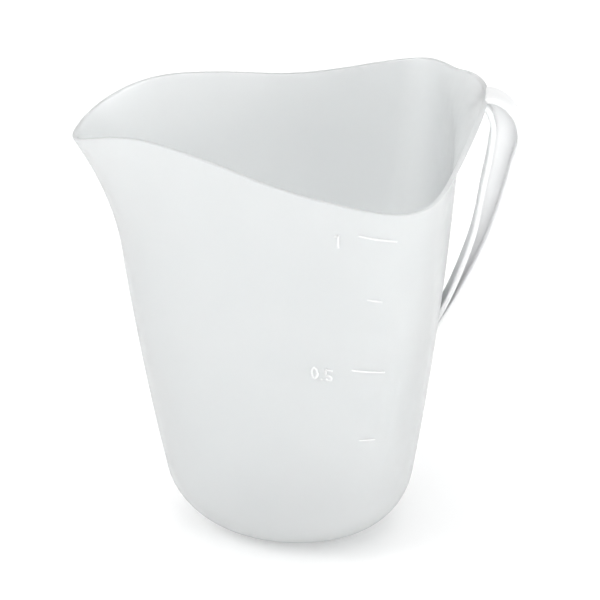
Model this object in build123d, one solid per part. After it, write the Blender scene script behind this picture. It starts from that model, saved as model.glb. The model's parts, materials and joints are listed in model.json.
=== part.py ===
"""One-litre measuring jug with a pouring spout and an open strap handle.

The jug is one thin-walled moulding. Each moulded feature is written as its own solid, and
neighbours meet face to face on the wall's outer surface.

Frame: origin under the middle of the wall outline, on the surface the jug stands on.
+Z is up, the spout points to -X, the handle to +X, and the XZ plane is the plane of symmetry.
All sizes are in millimetres.
"""

import os
from math import cos, exp, hypot, pi, radians, sin

from build123d import *

# Wall outline. It is nearly round at the base and a rounded triangle at the shaping height,
# with a blunt side towards the handle and a narrow one towards the spout.
SHAPING_HEIGHT = 157.0
BASE_CENTRE = 2.4
BASE_HALF_LENGTH = 39.4
BASE_HALF_WIDTH = 37.4
TOP_CENTRE = 7.4
TOP_HALF_LENGTH = 60.5
TOP_HALF_WIDTH = 62.9
TOP_BLUNTNESS = 8.2
TOP_TAPER = 15.4
TOP_CORNERS = 5.5
WALL_BELLY = 0.5

# Spout: the wall leans out over a narrow sector above its start.
SPOUT_START = 104.5
SPOUT_REACH = 19.6
SPOUT_SECTOR = radians(26.8)

# Flare of the wall towards the root of the handle.
FLARE_START = 142.2
FLARE_REACH = 4.5
FLARE_SECTOR = radians(62.0)

# Wall, floor and foot.
WALL = 1.6
FLOOR = 2.0
CORNER_RADIUS = 20.0
FOOT_HEIGHT = 1.0
FOOT_WIDTH = 2.5

# Rim seen from the side: distance along X, and height.
RIM = [
    (-80.6, 124.4),
    (-69.4, 146.5),
    (-52.0, 154.9),
    (-25.5, 153.6),
    (0.0, 148.7),
    (25.5, 147.7),
    (44.9, 148.7),
    (54.0, 150.7),
    (57.3, 152.6),
    (61.2, 157.0),
    (65.0, 160.4),
    (68.0, 163.2),
    (72.0, 165.0),
]

# Handle: two flanges joined by a web in the plane of symmetry. Each curve is the face of a
# flange seen from the side, from its root under the rim to its end in the wall.
HANDLE_WIDTH = 11.0
FLANGE = 1.8
WEB = 1.8
HANDLE_BACK = [(62.0, 162.3), (70.9, 162.6), (77.0, 158.1), (80.0, 149.0), (77.9, 138.7), (72.4, 117.3),
               (64.6, 97.4), (54.0, 77.6), (48.0, 69.5)]
HANDLE_FRONT = [(60.5, 154.0), (66.6, 158.4), (69.1, 153.0), (68.7, 144.8), (66.3, 129.5), (63.4, 112.2),
                (59.7, 100.0), (55.2, 88.0), (50.0, 77.0)]

# Scale on the near side of the jug. Each line has its height, and its start and end along X.
RELIEF = 0.4
LINE_THICKNESS = 0.7
LINES = {
    "line_1000_ml": (138.1, 27.5, 39.8),
    "line_750_ml": (114.6, 30.3, 35.2),
    "line_500_ml": (86.1, 25.3, 36.1),
    "line_250_ml": (56.9, 27.7, 32.9),
}
NUMERALS = {"numeral_1_litre": ("line_1000_ml", "1"), "numeral_half_litre": ("line_500_ml", "0.5")}
DIGIT_HEIGHT = 4.8
DIGIT_WIDTH = 2.6
DIGIT_STROKE = 0.7
DIGIT_SPACE = 0.7
NUMERAL_GAP = 6.5
NUMERAL_DROP = 3.5

# Middle of the whole jug along X, from the tip of the spout to the back of the handle. The parts
# are saved with this point on the origin.
MIDDLE = 4.2

# Fineness of the wall surface.
OUTLINE_POINTS = 28
TOP_LEVEL = 172.0
CORNER_LEVELS = 6
STRAIGHT_LEVELS = 4
FLARED_LEVELS = 7
PROFILE_LEVELS = 16
# Small step used to measure the slope of the wall.
STEP = 0.01


def blend(base, top, height):
    """Value between the base and the shaping height; the belly makes the wall bulge a little."""
    share = height / SHAPING_HEIGHT
    share += WALL_BELLY * share * (1.0 - share)
    return base + (top - base) * share


def lean(height, start, reach):
    """How far a flare has come out of the wall at a height."""
    return reach * (max(height - start, 0.0) / (SHAPING_HEIGHT - start)) ** 2


def sector(angle, middle, half):
    """Share of a flare at an angle: one at its middle, falling off smoothly to both sides."""
    turn = (angle - middle + pi) % (2.0 * pi) - pi
    return exp(-((turn / half) ** 2))


def wall_point(angle, height):
    """Point of the wall's outer surface. Angle 0 is the handle, pi is the spout."""
    x = blend(BASE_CENTRE, TOP_CENTRE, height)
    x += blend(BASE_HALF_LENGTH, TOP_HALF_LENGTH, height) * cos(angle)
    x -= blend(0.0, TOP_BLUNTNESS, height) * cos(2.0 * angle)
    x -= lean(height, SPOUT_START, SPOUT_REACH) * sector(angle, pi, SPOUT_SECTOR)
    x += lean(height, FLARE_START, FLARE_REACH) * sector(angle, 0.0, FLARE_SECTOR)
    y = blend(BASE_HALF_WIDTH, TOP_HALF_WIDTH, height) * sin(angle)
    y += blend(0.0, TOP_TAPER, height) * sin(2.0 * angle)
    y += blend(0.0, TOP_CORNERS, height) * sin(3.0 * angle)
    return x, y


def inset_point(angle, height, inset, rounding):
    """Point at a true distance inside the wall's outer surface, plus a level one for the rounding."""
    x, y = wall_point(angle, height)
    ahead_x, ahead_y = wall_point(angle + STEP, height)
    above_x, above_y = wall_point(angle, height + STEP)
    along = hypot(ahead_x - x, ahead_y - y)
    out_x = (ahead_y - y) / along
    out_y = (x - ahead_x) / along
    slope = ((above_x - x) * out_x + (above_y - y) * out_y) / STEP
    level_inset = inset * hypot(1.0, slope) + rounding
    return x - level_inset * out_x, y - level_inset * out_y


def outline(height, inset, rounding=0.0):
    """Flat face inside the wall at a height."""
    turns = [2.0 * pi * i / OUTLINE_POINTS for i in range(OUTLINE_POINTS)]
    points = [inset_point(turn, height, inset, rounding) for turn in turns]
    return Pos(0, 0, height) * make_face(Spline(*points, periodic=True))


def wall_body(bottom, inset, corner):
    """Solid body inside the wall surface, from a flat bottom with a round corner to above the rim."""
    bends = [0.5 * pi * i / CORNER_LEVELS for i in range(CORNER_LEVELS)]
    faces = [outline(bottom + corner * (1.0 - cos(bend)), inset, corner * (1.0 - sin(bend))) for bend in bends]
    tangent = bottom + corner
    straight = [tangent + (SPOUT_START - tangent) * i / STRAIGHT_LEVELS for i in range(STRAIGHT_LEVELS)]
    flared = [SPOUT_START + (TOP_LEVEL - SPOUT_START) * i / FLARED_LEVELS for i in range(FLARED_LEVELS + 1)]
    faces += [outline(height, inset) for height in straight + flared]
    return loft(faces)


def above_rim():
    """Everything above the rim, to be cut away."""
    rim = Spline(*RIM)
    high = TOP_LEVEL + 20.0
    far = 120.0
    edges = [
        rim,
        Line(rim @ 1, (far, RIM[-1][1])),
        Line((far, RIM[-1][1]), (far, high)),
        Line((far, high), (-far, high)),
        Line((-far, high), (-far, RIM[0][1])),
        Line((-far, RIM[0][1]), rim @ 0),
    ]
    side = make_face(Wire(edges))
    return extrude(Plane.XZ * side, far, both=True)


def make_vessel(outside, waste):
    """Wall and floor of the jug."""
    inside = wall_body(FOOT_HEIGHT + FLOOR, WALL, CORNER_RADIUS - WALL)
    return outside - inside - waste


def make_foot_ring():
    """Low standing ring along the edge of the flat underside."""
    outer = outline(FOOT_HEIGHT, 0.0, CORNER_RADIUS)
    inner = outline(FOOT_HEIGHT, 0.0, CORNER_RADIUS + FOOT_WIDTH)
    return extrude(outer - inner, FOOT_HEIGHT, dir=(0, 0, -1))


def parallel(curve, distance):
    """Curve beside another one in the side view, at a fixed distance to its right."""
    samples = [i / 12.0 for i in range(13)]
    points = []
    for u in samples:
        along = curve % u
        points.append(curve @ u + Vector(along.Y, -along.X) * distance)
    return Spline(*points)


def strip(first, second, width):
    """Plate of a width between two curves of the side view."""
    ends = [Line(first @ 0, second @ 0), Line(first @ 1, second @ 1)]
    side = make_face(Wire([first, ends[1], second, ends[0]]))
    return extrude(Plane.XZ * side, width / 2.0, both=True)


def behind_handle():
    """Block that fills the jug behind the handle, with the wall's side outline as its edge."""
    levels = [TOP_LEVEL * i / PROFILE_LEVELS for i in range(1, PROFILE_LEVELS + 1)]
    edge = Spline(*[(wall_point(0.0, height)[0], height) for height in levels])
    rest = Polyline(edge @ 1, (0.0, levels[-1]), (0.0, levels[0]), edge @ 0)
    return extrude(Plane.XZ * make_face([edge, rest]), HANDLE_WIDTH, both=True)


def make_handle():
    """Outer flange, inner flange and web, each ending on the wall."""
    back = Spline(*HANDLE_BACK)
    front = Spline(*HANDLE_FRONT)
    outer = strip(back, parallel(back, FLANGE), HANDLE_WIDTH)
    inner = strip(front, parallel(front, -FLANGE), HANDLE_WIDTH) - outer
    web = strip(back, front, WEB) - outer - inner
    jug = behind_handle()
    return outer - jug, inner - jug, web - jug


def digit(figure):
    """Flat figure, standing on the origin with its left side on the vertical axis."""
    middle = Pos(DIGIT_WIDTH / 2.0, DIGIT_HEIGHT / 2.0)
    if figure == ".":
        return Pos(DIGIT_STROKE / 2.0, DIGIT_STROKE / 2.0) * Rectangle(DIGIT_STROKE, DIGIT_STROKE)
    if figure == "0":
        ring = Ellipse(DIGIT_WIDTH / 2.0, DIGIT_HEIGHT / 2.0)
        return middle * (ring - Ellipse(DIGIT_WIDTH / 2.0 - DIGIT_STROKE, DIGIT_HEIGHT / 2.0 - DIGIT_STROKE))
    if figure == "1":
        stem = Pos(DIGIT_STROKE / 2.0, DIGIT_HEIGHT / 2.0) * Rectangle(DIGIT_STROKE, DIGIT_HEIGHT)
        flag = Pos(-DIGIT_STROKE / 2.0, DIGIT_HEIGHT - 1.5 * DIGIT_STROKE) * Rectangle(DIGIT_STROKE, DIGIT_STROKE)
        return stem + flag
    bowl = DIGIT_WIDTH / 2.0
    arc = Pos(bowl, bowl) * (Circle(bowl) - Circle(bowl - DIGIT_STROKE))
    arc -= Pos(bowl / 2.0, bowl * 1.1) * Rectangle(bowl, bowl * 1.2)
    neck_height = DIGIT_HEIGHT - 2.0 * bowl + DIGIT_STROKE
    neck = Pos(DIGIT_STROKE / 2.0, DIGIT_HEIGHT - neck_height / 2.0) * Rectangle(DIGIT_STROKE, neck_height)
    shelf = Pos(bowl / 2.0, 2.0 * bowl - DIGIT_STROKE / 2.0) * Rectangle(bowl, DIGIT_STROKE)
    top = Pos(DIGIT_WIDTH / 2.0, DIGIT_HEIGHT - DIGIT_STROKE / 2.0) * Rectangle(DIGIT_WIDTH, DIGIT_STROKE)
    return arc + neck + shelf + top


def digit_width(figure):
    """Room that a figure takes along its line."""
    return DIGIT_STROKE if figure in ".1" else DIGIT_WIDTH


def raised(figure, skin, outside):
    """Relief on the near side of the wall, from a flat figure in the side view."""
    block = extrude(Plane.XZ * figure, 2.0 * TOP_HALF_WIDTH)
    return (block & skin) - outside


def make_line(name, skin, outside):
    """Scale line, level along the wall."""
    height, start, end = LINES[name]
    line = Pos((start + end) / 2.0, height) * Rectangle(end - start, LINE_THICKNESS)
    return raised(line, skin, outside)


def make_numeral(name, skin, outside):
    """Plain figures beside a scale line, one solid for each."""
    line, text = NUMERALS[name]
    height, start, end = LINES[line]
    width = sum(digit_width(figure) for figure in text) + DIGIT_SPACE * (len(text) - 1)
    x = start - NUMERAL_GAP - width
    bottom = height - NUMERAL_DROP - DIGIT_HEIGHT / 2.0
    solids = []
    for figure in text:
        solids += raised(Pos(x, bottom) * digit(figure), skin, outside).solids()
        x += digit_width(figure) + DIGIT_SPACE
    return Compound(children=solids)


def save(name, shape):
    """Write one sub-part, centred along X."""
    shape = Pos(-MIDDLE, 0, 0) * shape
    shape.label = name
    export_step(shape, os.path.join("parts", name + ".step"))
    print(name, len(shape.solids()), round(shape.volume, 1), shape.is_valid)


def main():
    os.makedirs("parts", exist_ok=True)
    outside = wall_body(FOOT_HEIGHT, 0.0, CORNER_RADIUS)
    skin = wall_body(FOOT_HEIGHT, -RELIEF, CORNER_RADIUS + RELIEF)
    save("vessel", make_vessel(outside, above_rim()))
    save("foot_ring", make_foot_ring())
    outer_flange, inner_flange, web = make_handle()
    save("handle_outer_flange", outer_flange)
    save("handle_inner_flange", inner_flange)
    save("handle_web", web)
    for name in LINES:
        save(name, make_line(name, skin, outside))
    for name in NUMERALS:
        save(name, make_numeral(name, skin, outside))


main()
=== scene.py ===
"""Looks of the measuring jug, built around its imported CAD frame. Lengths are in millimetres until
they reach a mesh, which is in metres."""

import json
from math import copysign, cos, exp, hypot, pi, radians, sin

import bmesh
import bpy
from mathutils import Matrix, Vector

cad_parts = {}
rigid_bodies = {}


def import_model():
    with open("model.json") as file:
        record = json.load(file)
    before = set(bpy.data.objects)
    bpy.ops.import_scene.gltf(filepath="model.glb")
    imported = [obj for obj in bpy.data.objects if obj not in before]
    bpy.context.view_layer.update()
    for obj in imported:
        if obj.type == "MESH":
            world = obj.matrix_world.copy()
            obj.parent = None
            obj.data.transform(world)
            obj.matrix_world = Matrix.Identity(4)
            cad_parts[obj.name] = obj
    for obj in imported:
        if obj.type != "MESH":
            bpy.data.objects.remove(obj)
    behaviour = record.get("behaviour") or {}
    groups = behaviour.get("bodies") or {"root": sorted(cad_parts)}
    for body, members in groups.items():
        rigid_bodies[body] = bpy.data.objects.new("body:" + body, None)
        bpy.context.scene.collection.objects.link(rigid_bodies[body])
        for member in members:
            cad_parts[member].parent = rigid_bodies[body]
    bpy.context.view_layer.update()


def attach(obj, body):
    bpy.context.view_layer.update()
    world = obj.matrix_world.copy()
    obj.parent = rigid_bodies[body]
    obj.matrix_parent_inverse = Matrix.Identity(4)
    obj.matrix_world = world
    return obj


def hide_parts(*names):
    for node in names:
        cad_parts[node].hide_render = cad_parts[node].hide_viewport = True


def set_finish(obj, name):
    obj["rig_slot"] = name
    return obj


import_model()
MM = 0.001
SLOT = "polypropylene"

# Shape of the wall, as in the CAD part.
MIDDLE = 4.2
SHAPING_HEIGHT = 157.0
BASE_CENTRE, BASE_HALF_LENGTH, BASE_HALF_WIDTH = 2.4, 39.4, 37.4
TOP_CENTRE, TOP_HALF_LENGTH, TOP_HALF_WIDTH = 7.4, 60.5, 62.9
TOP_BLUNTNESS, TOP_TAPER, TOP_CORNERS = 8.2, 15.4, 5.5
WALL_BELLY = 0.5
SPOUT_START, SPOUT_REACH, SPOUT_SECTOR = 104.5, 19.6, radians(26.8)
FLARE_START, FLARE_REACH, FLARE_SECTOR = 142.2, 4.5, radians(62.0)
WALL, FLOOR, CORNER_RADIUS = 1.6, 2.0, 20.0
FOOT_HEIGHT, FOOT_WIDTH, FOOT_EDGE, FOOT_SUNK = 1.0, 2.5, 0.35, 0.1
STEP = 0.01
RIM = [(-80.6, 124.4), (-69.4, 146.5), (-52.0, 154.9), (-25.5, 153.6), (0.0, 148.7), (25.5, 147.7),
       (44.9, 148.7), (54.0, 150.7), (57.3, 152.6), (61.2, 157.0), (65.0, 160.4), (68.0, 163.2), (72.0, 165.0)]

# Handle: the faces of its two flanges, seen from the side.
HANDLE_WIDTH, FLANGE, WEB = 11.0, 1.8, 1.8
FLANGE_EDGE, BACK_INSET = 0.55, 0.05
# The web reaches a little into both flanges, and ends where they come close, below the arch.
WEB_SUNK, WEB_END, ARCH_LEVEL = 0.3, 0.8, 150.0
HANDLE_BACK = [(62.0, 162.3), (70.9, 162.6), (77.0, 158.1), (80.0, 149.0), (77.9, 138.7), (72.4, 117.3),
               (64.6, 97.4), (54.0, 77.6), (48.0, 69.5)]
HANDLE_FRONT = [(60.5, 154.0), (66.6, 158.4), (69.1, 153.0), (68.7, 144.8), (66.3, 129.5), (63.4, 112.2),
                (59.7, 100.0), (55.2, 88.0), (50.0, 77.0)]

# Scale on the near side: height, start and end of each line, and the figures beside two of them.
RELIEF, SUNK = 0.4, 0.15
LINE_THICKNESS = 0.7
LINES = {
    "line_1000_ml": (138.1, 27.5, 39.8),
    "line_750_ml": (114.6, 30.3, 35.2),
    "line_500_ml": (86.1, 25.3, 36.1),
    "line_250_ml": (56.9, 27.7, 32.9),
}
NUMERALS = {"numeral_1_litre": ("line_1000_ml", "1"), "numeral_half_litre": ("line_500_ml", "0.5")}
DIGIT_HEIGHT, DIGIT_WIDTH, DIGIT_STROKE, DIGIT_SPACE = 4.8, 2.6, 0.7, 0.7
NUMERAL_GAP, NUMERAL_DROP = 6.5, 3.5

# Fineness of the meshes.
AROUND = 288
UP = 90
BEND = 14
ALONG = 150
RIM_SMOOTHING = 30
RIM_STEPS = 12
RIM_SQUARENESS = 0.45
RIM_LOWERED = 0.35

# Camera: degrees, metres, the height in millimetres of the point it is set from, and its lens.
VIEW_AZIMUTH, VIEW_ELEVATION, VIEW_DISTANCE = 3.0, 26.3, 1.15
VIEW_CENTRE, VIEW_RIGHT, VIEW_DOWN = 97.4, 0.00525, 0.0120
SENSOR_WIDTH, LENS = 36.0, 201.0

# Lamps: azimuth, elevation, distance, size and power. They aim at the height LAMP_AIM.
LAMPS = {
    "key": (-62.0, 30.0, 1.1, (0.6, 0.8), 4.6),
    "fill": (50.0, 5.0, 1.2, (0.8, 0.6), 8.5),
    "low": (-12.0, 3.0, 1.4, (0.9, 0.3), 3.0),
    "top": (160.0, 66.0, 1.2, (1.0, 0.8), 2.3),
}
LAMP_AIM = 0.08

# Strength of the world on the object, and as the camera sees it straight or through the plastic.
WORLD_LIGHT, WORLD_WHITE = 0.85, 1.0

# Light added to the floor as the camera sees it, so that it looks white around the shadow.
FLOOR_LIFT, FLOOR_REACH = 0.1, 3.0

# Plastics: darker and lighter colour, share of light let through, and roughness.
MOULDING = ((0.85, 0.872, 0.876, 1.0), (0.88, 0.898, 0.90, 1.0), 0.6, 0.33)
HANDLE_PLASTIC = ((0.87, 0.882, 0.887, 1.0), (0.89, 0.90, 0.905, 1.0), 0.08, 0.42)
RELIEF_PLASTIC = ((0.93, 0.94, 0.94, 1.0), (0.95, 0.955, 0.955, 1.0), 0.0, 0.4)
ROUGHNESS_SPREAD = 0.04


# ---------------------------------------------------------------- wall
def blend(base, top, height):
    """Value between the base and the shaping height, with a little belly."""
    share = height / SHAPING_HEIGHT
    share += WALL_BELLY * share * (1.0 - share)
    return base + (top - base) * share


def lean(height, start, reach):
    """How far a flare has come out of the wall at a height."""
    return reach * (max(height - start, 0.0) / (SHAPING_HEIGHT - start)) ** 2


def sector(angle, middle, half):
    """Share of a flare at an angle, one at its middle."""
    turn = (angle - middle + pi) % (2.0 * pi) - pi
    return exp(-((turn / half) ** 2))


def wall_point(angle, height):
    """Point of the wall's outer surface. Angle 0 is the handle, pi is the spout."""
    x = blend(BASE_CENTRE, TOP_CENTRE, height)
    x += blend(BASE_HALF_LENGTH, TOP_HALF_LENGTH, height) * cos(angle)
    x -= blend(0.0, TOP_BLUNTNESS, height) * cos(2.0 * angle)
    x -= lean(height, SPOUT_START, SPOUT_REACH) * sector(angle, pi, SPOUT_SECTOR)
    x += lean(height, FLARE_START, FLARE_REACH) * sector(angle, 0.0, FLARE_SECTOR)
    y = blend(BASE_HALF_WIDTH, TOP_HALF_WIDTH, height) * sin(angle)
    y += blend(0.0, TOP_TAPER, height) * sin(2.0 * angle)
    y += blend(0.0, TOP_CORNERS, height) * sin(3.0 * angle)
    return x, y


def inset_point(angle, height, inset, rounding=0.0):
    """Point at a true distance inside the wall's outer surface, plus a level one for the rounding."""
    x, y = wall_point(angle, height)
    ahead_x, ahead_y = wall_point(angle + STEP, height)
    above_x, above_y = wall_point(angle, height + STEP)
    along = hypot(ahead_x - x, ahead_y - y)
    out_x = (ahead_y - y) / along
    out_y = (x - ahead_x) / along
    slope = ((above_x - x) * out_x + (above_y - y) * out_y) / STEP
    level_inset = inset * hypot(1.0, slope) + rounding
    return x - level_inset * out_x, y - level_inset * out_y, height


def smooth_line(points, count):
    """Points along a smooth curve through the given ones, spaced by their distances apart."""
    knots = [0.0]
    for (ax, az), (bx, bz) in zip(points, points[1:]):
        knots.append(knots[-1] + hypot(bx - ax, bz - az))
    slopes = []
    last = len(points) - 1
    for i in range(last + 1):
        before, after = max(i - 1, 0), min(i + 1, last)
        room = knots[after] - knots[before]
        if 0 < i < last:
            left, right = knots[i] - knots[i - 1], knots[i + 1] - knots[i]
            slope = [((points[i][k] - points[i - 1][k]) / left * right
                      + (points[i + 1][k] - points[i][k]) / right * left) / room for k in (0, 1)]
        else:
            slope = [(points[after][k] - points[before][k]) / room for k in (0, 1)]
        slopes.append(slope)
    line = []
    for step in range(count + 1):
        place = knots[-1] * step / count
        i = max(j for j in range(last) if knots[j] <= place or j == 0)
        gap = knots[i + 1] - knots[i]
        t = (place - knots[i]) / gap
        weights = (2 * t**3 - 3 * t**2 + 1, (t**3 - 2 * t**2 + t) * gap,
                   3 * t**2 - 2 * t**3, (t**3 - t**2) * gap)
        line.append(tuple(weights[0] * points[i][k] + weights[1] * slopes[i][k]
                          + weights[2] * points[i + 1][k] + weights[3] * slopes[i + 1][k] for k in (0, 1)))
    return line


RIM_LINE = smooth_line(RIM, 400)


def rim_height(x):
    """Height of the rim line above a place along X."""
    for (ax, az), (bx, bz) in zip(RIM_LINE, RIM_LINE[1:]):
        if x <= bx:
            return az + (bz - az) * (x - ax) / (bx - ax)
    return RIM_LINE[-1][1]


def rim_level(angle):
    """Height at which the middle of the wall meets the rim line."""
    low, high = 110.0, 166.0
    for _ in range(30):
        middle = 0.5 * (low + high)
        if middle < rim_height(inset_point(angle, middle, 0.5 * WALL)[0]):
            low = middle
        else:
            high = middle
    return low


def make_mesh(name, points, faces, nodes):
    """Smooth closed piece from points in the CAD part's own place along X."""
    mesh = bpy.data.meshes.new(name)
    mesh.from_pydata([((x - MIDDLE) * MM, y * MM, z * MM) for x, y, z in points], [], faces)
    form = bmesh.new()
    form.from_mesh(mesh)
    bmesh.ops.recalc_face_normals(form, faces=form.faces)
    form.to_mesh(mesh)
    form.free()
    mesh.polygons.foreach_set("use_smooth", [True] * len(mesh.polygons))
    piece = bpy.data.objects.new(name, mesh)
    bpy.context.collection.objects.link(piece)
    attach(piece, "root")
    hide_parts(*nodes)
    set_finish(piece, SLOT)
    return piece


def skin_faces(rings, size, closed_ends=True):
    """Quads between neighbouring rings of points."""
    faces = []
    for ring in range(rings - 1):
        for i in range(size):
            j = (i + 1) % size
            low, high = ring * size, (ring + 1) * size
            faces.append((low + i, low + j, high + j, high + i))
    if closed_ends:
        faces.append(tuple(range(size - 1, -1, -1)))
        faces.append(tuple(range((rings - 1) * size, rings * size)))
    return faces


def make_vessel():
    """Wall with a rounded rim, round corners and the floor, as one closed skin."""
    angles = [2.0 * pi * i / AROUND for i in range(AROUND)]
    rims = [rim_level(angle) - RIM_LOWERED for angle in angles]
    for _ in range(RIM_SMOOTHING):
        rims = [(rims[i - 1] + 2.0 * rims[i] + rims[(i + 1) % AROUND]) / 4.0 for i in range(AROUND)]
    rings = []

    def corner(bottom, inset, radius, bends):
        for bend in bends:
            level = bottom + radius * (1.0 - cos(bend))
            rings.append([inset_point(a, level, inset, radius * (1.0 - sin(bend))) for a in angles])

    def wall(start, inset, shares):
        for share in shares:
            rings.append([inset_point(a, start + (top - 0.5 * WALL - start) * share, inset)
                          for a, top in zip(angles, rims)])

    bends = [0.5 * pi * i / BEND for i in range(BEND + 1)]
    shares = [i / UP for i in range(1, UP + 1)]
    corner(FOOT_HEIGHT, 0.0, CORNER_RADIUS, bends)
    wall(FOOT_HEIGHT + CORNER_RADIUS, 0.0, shares)
    half = 0.5 * WALL
    for i in range(1, RIM_STEPS):
        bend = pi * i / RIM_STEPS
        drop = half * (1.0 - sin(bend) ** RIM_SQUARENESS)
        across = half * (1.0 - copysign(abs(cos(bend)) ** RIM_SQUARENESS, cos(bend)))
        rings.append([inset_point(a, top - drop, across) for a, top in zip(angles, rims)])
    inner_bottom = FOOT_HEIGHT + FLOOR
    inner_radius = CORNER_RADIUS - WALL
    wall(inner_bottom + inner_radius, WALL, shares[::-1])
    corner(inner_bottom, WALL, inner_radius, bends[::-1])
    points = [point for ring in rings for point in ring]
    faces = skin_faces(len(rings), AROUND, closed_ends=False)
    for ring, level in ((0, FOOT_HEIGHT), (len(rings) - 1, inner_bottom)):
        first = ring * AROUND
        for share in (0.66, 0.33):
            start = len(points)
            for i in range(AROUND):
                x, y, _ = points[ring * AROUND + i]
                points.append((BASE_CENTRE + (x - BASE_CENTRE) * share, y * share, level))
            faces += [(first + i, first + (i + 1) % AROUND, start + (i + 1) % AROUND, start + i)
                      for i in range(AROUND)]
            first = start
        points.append((BASE_CENTRE, 0.0, level))
        faces += [(first + i, first + (i + 1) % AROUND, len(points) - 1) for i in range(AROUND)]
    return make_mesh("vessel_wall", points, faces, ["vessel"])


def make_foot_ring():
    """Standing ring with rounded edges under the floor."""
    angles = [2.0 * pi * i / AROUND for i in range(AROUND)]
    edge = FOOT_EDGE
    high = FOOT_HEIGHT + FOOT_SUNK
    turns = [(edge * (1.0 - cos(radians(b))), edge * (1.0 - sin(radians(b)))) for b in (30, 60, 90)]
    profile = [(0.0, high), (0.0, edge)] + turns
    profile += [(FOOT_WIDTH - across, level) for across, level in turns[::-1]]
    profile += [(FOOT_WIDTH, edge), (FOOT_WIDTH, high)]
    points = []
    for across, level in profile:
        for angle in angles:
            x, y, _ = inset_point(angle, FOOT_HEIGHT, 0.0, CORNER_RADIUS + across)
            points.append((x, y, level))
    faces = skin_faces(len(profile), AROUND, closed_ends=False)
    last = (len(profile) - 1) * AROUND
    faces += [(last + i, last + (i + 1) % AROUND, (i + 1) % AROUND, i) for i in range(AROUND)]
    return make_mesh("standing_ring", points, faces, ["foot_ring"])


# ---------------------------------------------------------------- handle
def beside(line, distance):
    """Line beside another one in the side view, to its right."""
    result = []
    for i in range(len(line)):
        ax, az = line[max(i - 1, 0)]
        bx, bz = line[min(i + 1, len(line) - 1)]
        run = hypot(bx - ax, bz - az)
        result.append((line[i][0] + distance * (bz - az) / run, line[i][1] - distance * (bx - ax) / run))
    return result


def outside_wall(line):
    """Part of a line outside the jug, ending in the middle of the wall, in even steps."""
    depth = [x - inset_point(0.0, z, 0.5 * WALL)[0] for x, z in line]
    inside = [i for i, value in enumerate(depth) if value < 0.0]
    first = max([i for i in inside if i < len(line) // 2], default=0)
    last = min([i for i in inside if i > len(line) // 2], default=len(line) - 1)
    return even_steps(line[first:last + 1])


def even_steps(line):
    """The same line in ALONG steps of equal length."""
    places = [0.0]
    for (ax, az), (bx, bz) in zip(line, line[1:]):
        places.append(places[-1] + hypot(bx - ax, bz - az))
    result = []
    i = 0
    for step in range(ALONG + 1):
        place = places[-1] * step / ALONG
        while i < len(line) - 2 and places[i + 1] < place:
            i += 1
        share = (place - places[i]) / (places[i + 1] - places[i])
        result.append(tuple(line[i][k] + (line[i + 1][k] - line[i][k]) * share for k in (0, 1)))
    return result


def bar(name, one, other, section, node):
    """Bar between two lines of the side view. The section holds pairs: share across, and half width."""
    ring = [(share, -half) for share, half in section] + [(share, half) for share, half in section[::-1]]
    points = []
    for (ax, az), (bx, bz) in zip(one, other):
        points += [(ax + (bx - ax) * share, y, az + (bz - az) * share) for share, y in ring]
    return make_mesh(name, points, skin_faces(len(one), len(ring)), [node])


def rounded_section(width, thickness, edge):
    """Half section of a flange with rounded edges."""
    turns = [radians(b) for b in (0, 22, 45, 68, 90)]
    start = [(edge / thickness * (1.0 - cos(b)), 0.5 * width - edge * (1.0 - sin(b))) for b in turns]
    end = [(1.0 - share, half) for share, half in start[::-1]]
    return [(0.0, 0.25 * width)] + start + end + [(1.0, 0.25 * width)]


def make_handle():
    back = smooth_line(HANDLE_BACK, 600)
    front = smooth_line(HANDLE_FRONT, 600)
    flange = rounded_section(HANDLE_WIDTH, FLANGE, FLANGE_EDGE)
    outer = outside_wall(beside(back, BACK_INSET)), outside_wall(beside(back, FLANGE))
    inner = outside_wall(front), outside_wall(beside(front, -FLANGE))
    bar("outer_flange", *outer, flange, "handle_outer_flange")
    bar("inner_flange", *inner, flange, "handle_inner_flange")
    one = outside_wall(beside(back, FLANGE - WEB_SUNK))
    other = outside_wall(beside(front, WEB_SUNK - FLANGE))
    pairs = []
    for (ax, az), (bx, bz) in zip(one, other):
        across = hypot(ax - bx, az - bz)
        ahead = ax - bx + az - bz
        if across > WEB_END and (ahead > 0.0 or az > ARCH_LEVEL):
            pairs.append(((ax, az), (bx, bz)))
    half = 0.5 * WEB
    fillet = [(0.0, half + 0.9), (0.05, half + 0.45), (0.12, half + 0.12), (0.2, half), (0.5, half)]
    fillet += [(1.0 - share, wide) for share, wide in fillet[-2::-1]]
    bar("web", [pair[0] for pair in pairs], [pair[1] for pair in pairs], fillet, "handle_web")


# ---------------------------------------------------------------- scale
def near_wall(x, level, out):
    """Point on the near side of the wall at a place along X."""
    low, high = 1.02 * pi, 1.98 * pi
    for _ in range(34):
        middle = 0.5 * (low + high)
        if wall_point(middle, level)[0] < x:
            low = middle
        else:
            high = middle
    return inset_point(low, level, -out)


def stroke(path, thickness):
    """Raised bead along a path of the side view: points of its skin, and faces."""
    half = 0.5 * thickness
    rise = [(1.0, -SUNK), (1.0, 0.45 * RELIEF), (0.72, 0.85 * RELIEF), (0.3, RELIEF - 0.02)]
    section = [(-share * half, out) for share, out in rise]
    section += [(share * half, out) for share, out in rise[::-1]]
    points = []
    for i, (x, z) in enumerate(path):
        ax, az = path[max(i - 1, 0)]
        bx, bz = path[min(i + 1, len(path) - 1)]
        run = hypot(bx - ax, bz - az)
        side_x, side_z = -(bz - az) / run, (bx - ax) / run
        points += [near_wall(x + side_x * s, z + side_z * s, out) for s, out in section]
    return points, skin_faces(len(path), len(section))


def run_between(start, end, count):
    return [tuple(start[k] + (end[k] - start[k]) * i / count for k in (0, 1)) for i in range(count + 1)]


def arc(middle, wide, tall, first, last, count):
    turns = [radians(first + (last - first) * i / count) for i in range(count + 1)]
    return [(middle[0] + wide * cos(t), middle[1] + tall * sin(t)) for t in turns]


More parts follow.
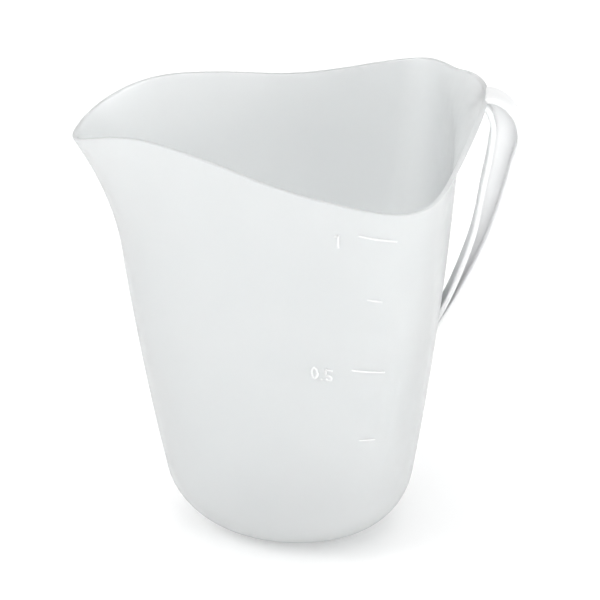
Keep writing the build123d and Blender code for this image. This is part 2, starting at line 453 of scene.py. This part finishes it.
def figure_paths(figure):
    """Strokes of a plain figure that stands on the origin."""
    half = 0.5 * DIGIT_STROKE
    if figure == ".":
        return [run_between((0.0, half), (DIGIT_STROKE, half), 2)]
    if figure == "1":
        flag = (-DIGIT_STROKE, DIGIT_HEIGHT - 1.5 * DIGIT_STROKE)
        top = (half, DIGIT_HEIGHT - half)
        return [run_between((half, 0.0), (half, DIGIT_HEIGHT), 8), run_between(flag, top, 3)]
    wide, tall = 0.5 * DIGIT_WIDTH, 0.5 * DIGIT_HEIGHT
    if figure == "0":
        return [arc((wide, tall), wide - half, tall - half, 0.0, 352.0, 40)]
    bowl = 0.5 * DIGIT_WIDTH
    neck = run_between((half, 2.0 * bowl - half), (half, DIGIT_HEIGHT - half), 6)
    top = run_between((0.0, DIGIT_HEIGHT - half), (DIGIT_WIDTH, DIGIT_HEIGHT - half), 5)
    shelf = run_between((half, 2.0 * bowl - half), (bowl, 2.0 * bowl - half), 3)
    return [neck, top, shelf[:-1] + arc((bowl, bowl), bowl - half, bowl - half, 90.0, -155.0, 24)]


def bead_piece(name, beads, node):
    points, faces = [], []
    for more_points, more_faces in beads:
        first = len(points)
        points += more_points
        faces += [tuple(first + i for i in face) for face in more_faces]
    return make_mesh(name, points, faces, [node])


def make_scale():
    for name, (level, start, end) in LINES.items():
        path = run_between((start, level), (end, level), 30)
        bead_piece("mark_" + name, [stroke(path, LINE_THICKNESS)], name)
    for name, (line, text) in NUMERALS.items():
        level, start, _ = LINES[line]
        widths = [DIGIT_STROKE if figure in ".1" else DIGIT_WIDTH for figure in text]
        x = start - NUMERAL_GAP - sum(widths) - DIGIT_SPACE * (len(text) - 1)
        bottom = level - NUMERAL_DROP - 0.5 * DIGIT_HEIGHT
        beads = []
        for figure, width in zip(text, widths):
            for path in figure_paths(figure):
                beads.append(stroke([(x + px, bottom + pz) for px, pz in path], DIGIT_STROKE))
            x += width + DIGIT_SPACE
        bead_piece("figures_" + name, beads, name)


# ---------------------------------------------------------------- material
def plastic(name, dark, light, through, rough):
    """Milky natural polypropylene: light passes, its skin is slightly uneven and softly glossy."""
    material = bpy.data.materials.new(name)
    material.use_nodes = True
    nodes, links = material.node_tree.nodes, material.node_tree.links
    shader = nodes["Principled BSDF"]
    place = nodes.new("ShaderNodeTexCoord")

    def noise(scale, detail):
        node = nodes.new("ShaderNodeTexNoise")
        node.inputs["Scale"].default_value = scale
        node.inputs["Detail"].default_value = detail
        links.new(place.outputs["Object"], node.inputs["Vector"])
        return node

    def spread(source, low, high):
        node = nodes.new("ShaderNodeMapRange")
        node.inputs["To Min"].default_value = low
        node.inputs["To Max"].default_value = high
        node.inputs["From Min"].default_value = 0.3
        node.inputs["From Max"].default_value = 0.7
        links.new(source.outputs["Fac"], node.inputs["Value"])
        return node

    tint = nodes.new("ShaderNodeMix")
    tint.data_type = "RGBA"
    tint.inputs["A"].default_value = dark
    tint.inputs["B"].default_value = light
    links.new(spread(noise(22.0, 3.0), 0.0, 1.0).outputs["Result"], tint.inputs["Factor"])
    links.new(tint.outputs["Result"], shader.inputs["Base Color"])
    gloss = spread(noise(160.0, 4.0), rough - ROUGHNESS_SPREAD, rough + ROUGHNESS_SPREAD)
    links.new(gloss.outputs["Result"], shader.inputs["Roughness"])
    flow = nodes.new("ShaderNodeBump")
    flow.inputs["Strength"].default_value = 0.2
    flow.inputs["Distance"].default_value = 0.0004
    links.new(noise(38.0, 1.0).outputs["Fac"], flow.inputs["Height"])
    links.new(flow.outputs["Normal"], shader.inputs["Normal"])
    shader.inputs["IOR"].default_value = 1.49
    shader.inputs["Transmission Weight"].default_value = through
    shader.inputs["Subsurface Weight"].default_value = 0.6
    shader.inputs["Subsurface Radius"].default_value = (1.0, 1.04, 1.04)
    shader.inputs["Subsurface Scale"].default_value = 0.006
    shader.inputs["Coat Weight"].default_value = 0.2
    shader.inputs["Coat Roughness"].default_value = 0.14
    return material


# ---------------------------------------------------------------- studio
def direction(azimuth, elevation):
    """Unit vector from the object; azimuth 0 is straight at the near side, and grows towards the handle."""
    a, e = radians(azimuth), radians(elevation)
    return Vector((sin(a) * cos(e), -cos(a) * cos(e), sin(e)))


def make_camera():
    back = direction(VIEW_AZIMUTH, VIEW_ELEVATION)
    right = Vector((cos(radians(VIEW_AZIMUTH)), sin(radians(VIEW_AZIMUTH)), 0.0))
    up = back.cross(right)
    centre = Vector((-MIDDLE * MM, 0.0, VIEW_CENTRE * MM))
    data = bpy.data.cameras.new("camera")
    data.sensor_width = SENSOR_WIDTH
    data.lens = LENS
    camera = bpy.data.objects.new("camera", data)
    camera.location = centre + back * VIEW_DISTANCE + right * VIEW_RIGHT - up * VIEW_DOWN
    camera.rotation_euler = back.to_track_quat("Z", "Y").to_euler()
    bpy.context.collection.objects.link(camera)
    bpy.context.scene.camera = camera


def lamp(name, azimuth, elevation, distance, size, power):
    data = bpy.data.lights.new(name, "AREA")
    data.shape = "RECTANGLE"
    data.size, data.size_y = size
    data.energy = power
    light = bpy.data.objects.new(name, data)
    aim = direction(azimuth, elevation)
    light.location = Vector((0.0, 0.0, LAMP_AIM)) + aim * distance
    light.rotation_euler = aim.to_track_quat("Z", "Y").to_euler()
    bpy.context.collection.objects.link(light)


def make_floor():
    points = [(x * FLOOR_REACH, y * FLOOR_REACH, 0.0) for x, y in ((-1, -1), (1, -1), (1, 1), (-1, 1))]
    mesh = bpy.data.meshes.new("floor")
    mesh.from_pydata(points, [], [(0, 1, 2, 3)])
    floor = bpy.data.objects.new("floor", mesh)
    bpy.context.collection.objects.link(floor)
    material = bpy.data.materials.new("floor")
    material.use_nodes = True
    shader = material.node_tree.nodes["Principled BSDF"]
    shader.inputs["Base Color"].default_value = (0.93, 0.93, 0.93, 1.0)
    shader.inputs["Roughness"].default_value = 0.6
    nodes, links = material.node_tree.nodes, material.node_tree.links
    glow = nodes.new("ShaderNodeMath")
    glow.operation = "MULTIPLY"
    glow.inputs[1].default_value = FLOOR_LIFT
    links.new(nodes.new("ShaderNodeLightPath").outputs["Is Camera Ray"], glow.inputs[0])
    links.new(glow.outputs[0], shader.inputs["Emission Strength"])
    shader.inputs["Emission Color"].default_value = (1.0, 1.0, 1.0, 1.0)
    mesh.materials.append(material)


def make_world():
    """White to the camera and in what it sees through the plastic, and weaker on the object."""
    world = bpy.data.worlds.new("studio")
    world.use_nodes = True
    nodes, links = world.node_tree.nodes, world.node_tree.links
    sky = nodes["Background"]
    sky.inputs["Color"].default_value = (1.0, 1.0, 1.0, 1.0)
    path = nodes.new("ShaderNodeLightPath")
    seen = nodes.new("ShaderNodeMath")
    seen.operation = "MAXIMUM"
    links.new(path.outputs["Is Camera Ray"], seen.inputs[0])
    links.new(path.outputs["Is Transmission Ray"], seen.inputs[1])
    level = nodes.new("ShaderNodeMapRange")
    level.inputs["To Min"].default_value = WORLD_LIGHT
    level.inputs["To Max"].default_value = WORLD_WHITE
    links.new(seen.outputs[0], level.inputs["Value"])
    links.new(level.outputs["Result"], sky.inputs["Strength"])
    bpy.context.scene.world = world


make_vessel()
make_foot_ring()
make_handle()
make_scale()
moulding = plastic("natural_polypropylene", *MOULDING)
solid = plastic("handle_polypropylene", *HANDLE_PLASTIC)
relief = plastic("relief_polypropylene", *RELIEF_PLASTIC)
for piece in list(bpy.data.objects):
    if piece.type == "MESH" and piece.get("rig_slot") == SLOT:
        raised = piece.name.startswith(("mark_", "figures_"))
        handle = piece.name in ("outer_flange", "inner_flange", "web")
        piece.data.materials.append(relief if raised else solid if handle else moulding)
make_floor()
make_world()
make_camera()
for name, settings in LAMPS.items():
    lamp(name, *settings)
bpy.context.scene.view_settings.view_transform = "Standard"
